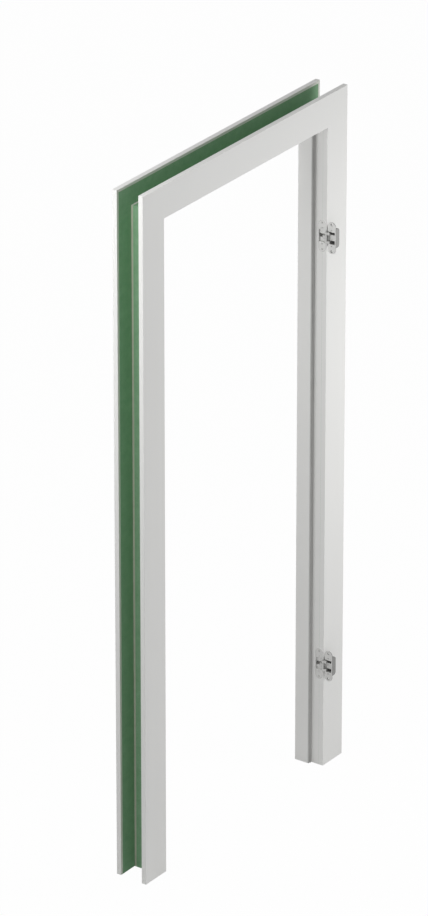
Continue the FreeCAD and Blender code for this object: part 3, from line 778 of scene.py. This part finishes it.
def add_screw(bm, head, shank, length, turn, place):
    """Add a screw to the bmesh; turn takes it from pointing down to where it points."""
    new = bmesh.new()
    outline = screw_outline(head, shank, length)
    line = [new.verts.new((radius, 0.0, height)) for radius, height in outline]
    edges = [new.edges.new(pair) for pair in zip(line, line[1:])]
    bmesh.ops.spin(new, geom=line + edges, cent=(0, 0, 0), axis=(0, 0, 1), angle=2 * math.pi,
                   steps=SPIN_STEPS, use_merge=True)
    bmesh.ops.remove_doubles(new, verts=new.verts, dist=SPIN_MERGE)
    rim = [edge for edge in new.edges if edge.is_boundary]
    corners = cross_outline(CROSS_ARM * head, CROSS_HALF_SLOT * head)
    slot = ring_of(new, [new.verts.new((x, y, -RIM_SINK)) for x, y in corners])
    bmesh.ops.bridge_loops(new, edges=rim + slot)
    walls = bmesh.ops.extrude_edge_only(new, edges=slot)
    floor_verts = [item for item in walls["geom"] if isinstance(item, bmesh.types.BMVert)]
    floor_edges = [item for item in walls["geom"] if isinstance(item, bmesh.types.BMEdge)
                   and item.verts[0] in floor_verts and item.verts[1] in floor_verts]
    bmesh.ops.scale(new, verts=floor_verts, vec=(RECESS_TAPER, RECESS_TAPER, 1.0))
    bmesh.ops.translate(new, verts=floor_verts, vec=(0.0, 0.0, -RECESS_DEPTH))
    bmesh.ops.edgeloop_fill(new, edges=floor_edges)
    bmesh.ops.recalc_face_normals(new, faces=new.faces)
    bmesh.ops.rotate(new, verts=new.verts, cent=(0, 0, 0), matrix=turn)
    bmesh.ops.translate(new, verts=new.verts, vec=place)
    loose = bpy.data.meshes.new("one_screw")
    new.to_mesh(loose)
    new.free()
    bm.from_mesh(loose)
    bpy.data.meshes.remove(loose)


# %% Screws of the hinges, of the strike plate and of the corners
SIDE_SHANK = 0.525
CORNER_SHANK = 0.564
CORNER_HEAD = 3.9 * MM
SCREW_CREASE = math.radians(30)


def side_screws(node, inward):
    """The two screws of a plate on a jamb; inward is 1 on the right jamb, -1 on the left."""
    low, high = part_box(node)
    head = (high.y - low.y) / 2
    turn = Matrix.Rotation(math.radians(-90 * inward), 3, "Y")
    face = low.x if inward > 0 else high.x
    bm = bmesh.new()
    for z in (low.z + head, high.z - head):
        place = Vector((face, low.y + head, z))
        add_screw(bm, head, SIDE_SHANK * head, high.x - low.x, turn, place)
    piece = finish_piece(bm, node, "root", screw_steel)
    piece.data.set_sharp_from_angle(angle=SCREW_CREASE)
    print(piece.name, "faces", len(piece.data.polygons))


for level in LEVELS:
    side_screws(level + "_hinge_frame_screws", 1)
side_screws("strike_screws", -1)

corner_low, corner_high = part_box("corner_screws")
bm = bmesh.new()
for x in (corner_low.x + CORNER_HEAD, corner_high.x - CORNER_HEAD):
    for y in (corner_low.y + CORNER_HEAD, corner_high.y - CORNER_HEAD):
        add_screw(bm, CORNER_HEAD, CORNER_SHANK * CORNER_HEAD, corner_high.z - corner_low.z,
                  Matrix.Identity(3), Vector((x, y, corner_high.z)))
corner_set = finish_piece(bm, "corner_screws", "root", screw_steel)
corner_set.data.set_sharp_from_angle(angle=SCREW_CREASE)
print(corner_set.name, "faces", len(corner_set.data.polygons))

# %% [markdown]
# ## Camera
#
# The photograph was taken from the left, from above and from far away with a long lens, so
# its upright lines stay nearly parallel. Its place and lens were worked out from the
# frame's own edges. The picture is taken to be 428 by 916 pixels, and the lens follows from
# the focal length in pixels.

# %% Set up the camera
PICTURE_HEIGHT = 916
FOCAL_PIXELS = 6903.0
SENSOR = 36.0
FAR_CLIP = 200.0
CAMERA_PLACE = Vector((-14.239, -9.997, 9.392))
CAMERA_TURN = math.radians(54.63)
CAMERA_DIP = math.radians(25.38)


def aim(obj, direction):
    """Turn a camera or a lamp to look along a direction."""
    obj.rotation_euler = direction.to_track_quat("-Z", "Y").to_euler()


camera_data = bpy.data.cameras.new("camera")
camera_data.sensor_width = SENSOR
camera_data.lens = FOCAL_PIXELS * SENSOR / PICTURE_HEIGHT
camera_data.clip_end = FAR_CLIP
camera = bpy.data.objects.new("camera", camera_data)
bpy.context.scene.collection.objects.link(camera)
camera.location = CAMERA_PLACE
aim(camera, Vector((math.sin(CAMERA_TURN) * math.cos(CAMERA_DIP),
                    math.cos(CAMERA_TURN) * math.cos(CAMERA_DIP),
                    -math.sin(CAMERA_DIP))))
bpy.context.scene.camera = camera
print("lens %.1f mm" % camera_data.lens)

# %% [markdown]
# ## Light and ground
#
# The side faces are brightest at the top left and fall to half of that at the floor, so
# the main light is close to the upper left corner. The front faces grow a little brighter
# towards the right, which asks for a broad and weak light in front on that side. The rest
# is an even glow from all round. The background is pure white in the photograph. Rather
# than flood the object with light, the world and the floor show white to the camera and in
# reflections, and the floor still keeps a little of its shading, and so a faint shadow.

# %% Lamps
FRAME_MIDDLE = Vector((0.0, 0.0, HEIGHT / 2))


def area_lamp(name, place, target, size, power):
    """A round lamp that the camera doesn't see."""
    light = bpy.data.lights.new(name, "AREA")
    light.shape = "DISK"
    light.size = size
    light.energy = power
    lamp = bpy.data.objects.new(name, light)
    bpy.context.scene.collection.objects.link(lamp)
    lamp.location = place
    lamp.visible_camera = False
    aim(lamp, target - place)


UPPER_LEFT = Vector((-0.3, 0.0, 1.6))
HINGE_SIDE = Vector((0.5, 0.0, 1.3))
INSIDE_RIGHT = Vector((0.4, 0.05, 1.5))
area_lamp("corner_lamp", Vector((-1.5, 0.1, 2.9)), UPPER_LEFT, size=0.8, power=12.6)
area_lamp("left_lamp", Vector((-4.0, -0.8, 1.6)), FRAME_MIDDLE, size=2.0, power=8.0)
area_lamp("front_lamp", Vector((1.3, -1.8, 1.5)), FRAME_MIDDLE, size=1.2, power=15.1)
area_lamp("hinge_side_lamp", Vector((0.9, -1.0, 1.35)), HINGE_SIDE, size=0.8, power=2.6)
area_lamp("inner_lamp", Vector((-0.9, 0.9, 1.7)), INSIDE_RIGHT, size=0.6, power=4.8)


# %% World and floor
def white_to_camera(tree):
    """1 for a ray from the camera, a reflection or a transmission, and 0 for the rest."""
    path = tree.nodes.new("ShaderNodeLightPath")
    total = path.outputs["Is Camera Ray"]
    for name in ("Is Glossy Ray", "Is Transmission Ray"):
        add = tree.nodes.new("ShaderNodeMath")
        add.operation = "MAXIMUM"
        tree.links.new(total, add.inputs[0])
        tree.links.new(path.outputs[name], add.inputs[1])
        total = add.outputs[0]
    return total


GLOW = 0.388
WHITE = (1.0, 1.0, 1.0, 1.0)
world = bpy.data.worlds.new("studio")
bpy.context.scene.world = world
world.use_nodes = True
tree = world.node_tree
seen = tree.nodes["Background"]
seen.inputs["Color"].default_value = WHITE
seen.inputs["Strength"].default_value = 1.0
glow = tree.nodes.new("ShaderNodeBackground")
glow.inputs["Color"].default_value = WHITE
glow.inputs["Strength"].default_value = GLOW
chooser = tree.nodes.new("ShaderNodeMixShader")
tree.links.new(white_to_camera(tree), chooser.inputs[0])
tree.links.new(glow.outputs[0], chooser.inputs[1])
tree.links.new(seen.outputs[0], chooser.inputs[2])
tree.links.new(chooser.outputs[0], tree.nodes["World Output"].inputs[0])

FLOOR_SHOWN = 0.98
FLOOR_HALF_SIZE = 40.0
FLOOR_GAP = 0.5 * MM
FLOOR_PAINT = (0.85, 0.85, 0.85, 1.0)
bm = bmesh.new()
bmesh.ops.create_grid(bm, x_segments=1, y_segments=1, size=FLOOR_HALF_SIZE)
bmesh.ops.translate(bm, verts=bm.verts, vec=Vector((0.0, 0.0, cad_low.z - FLOOR_GAP)))
floor_mesh = bpy.data.meshes.new("floor_mesh")
bm.to_mesh(floor_mesh)
bm.free()
floor = bpy.data.objects.new("floor", floor_mesh)
bpy.context.scene.collection.objects.link(floor)
floor_paint = bpy.data.materials.new("floor_white")
floor_paint.use_nodes = True
tree = floor_paint.node_tree
paint = tree.nodes["Principled BSDF"]
paint.inputs["Base Color"].default_value = FLOOR_PAINT
paint.inputs["Roughness"].default_value = 1.0
paint.inputs["Specular IOR Level"].default_value = 0.0
white = tree.nodes.new("ShaderNodeEmission")
white.inputs["Strength"].default_value = 1.0
share = tree.nodes.new("ShaderNodeMath")
share.operation = "MULTIPLY"
share.inputs[1].default_value = FLOOR_SHOWN
tree.links.new(white_to_camera(tree), share.inputs[0])
blend = tree.nodes.new("ShaderNodeMixShader")
tree.links.new(share.outputs[0], blend.inputs[0])
tree.links.new(paint.outputs[0], blend.inputs[1])
tree.links.new(white.outputs[0], blend.inputs[2])
tree.links.new(blend.outputs[0], tree.nodes["Material Output"].inputs[0])
floor_mesh.materials.append(floor_paint)

# %% View
bpy.context.scene.view_settings.view_transform = "Standard"
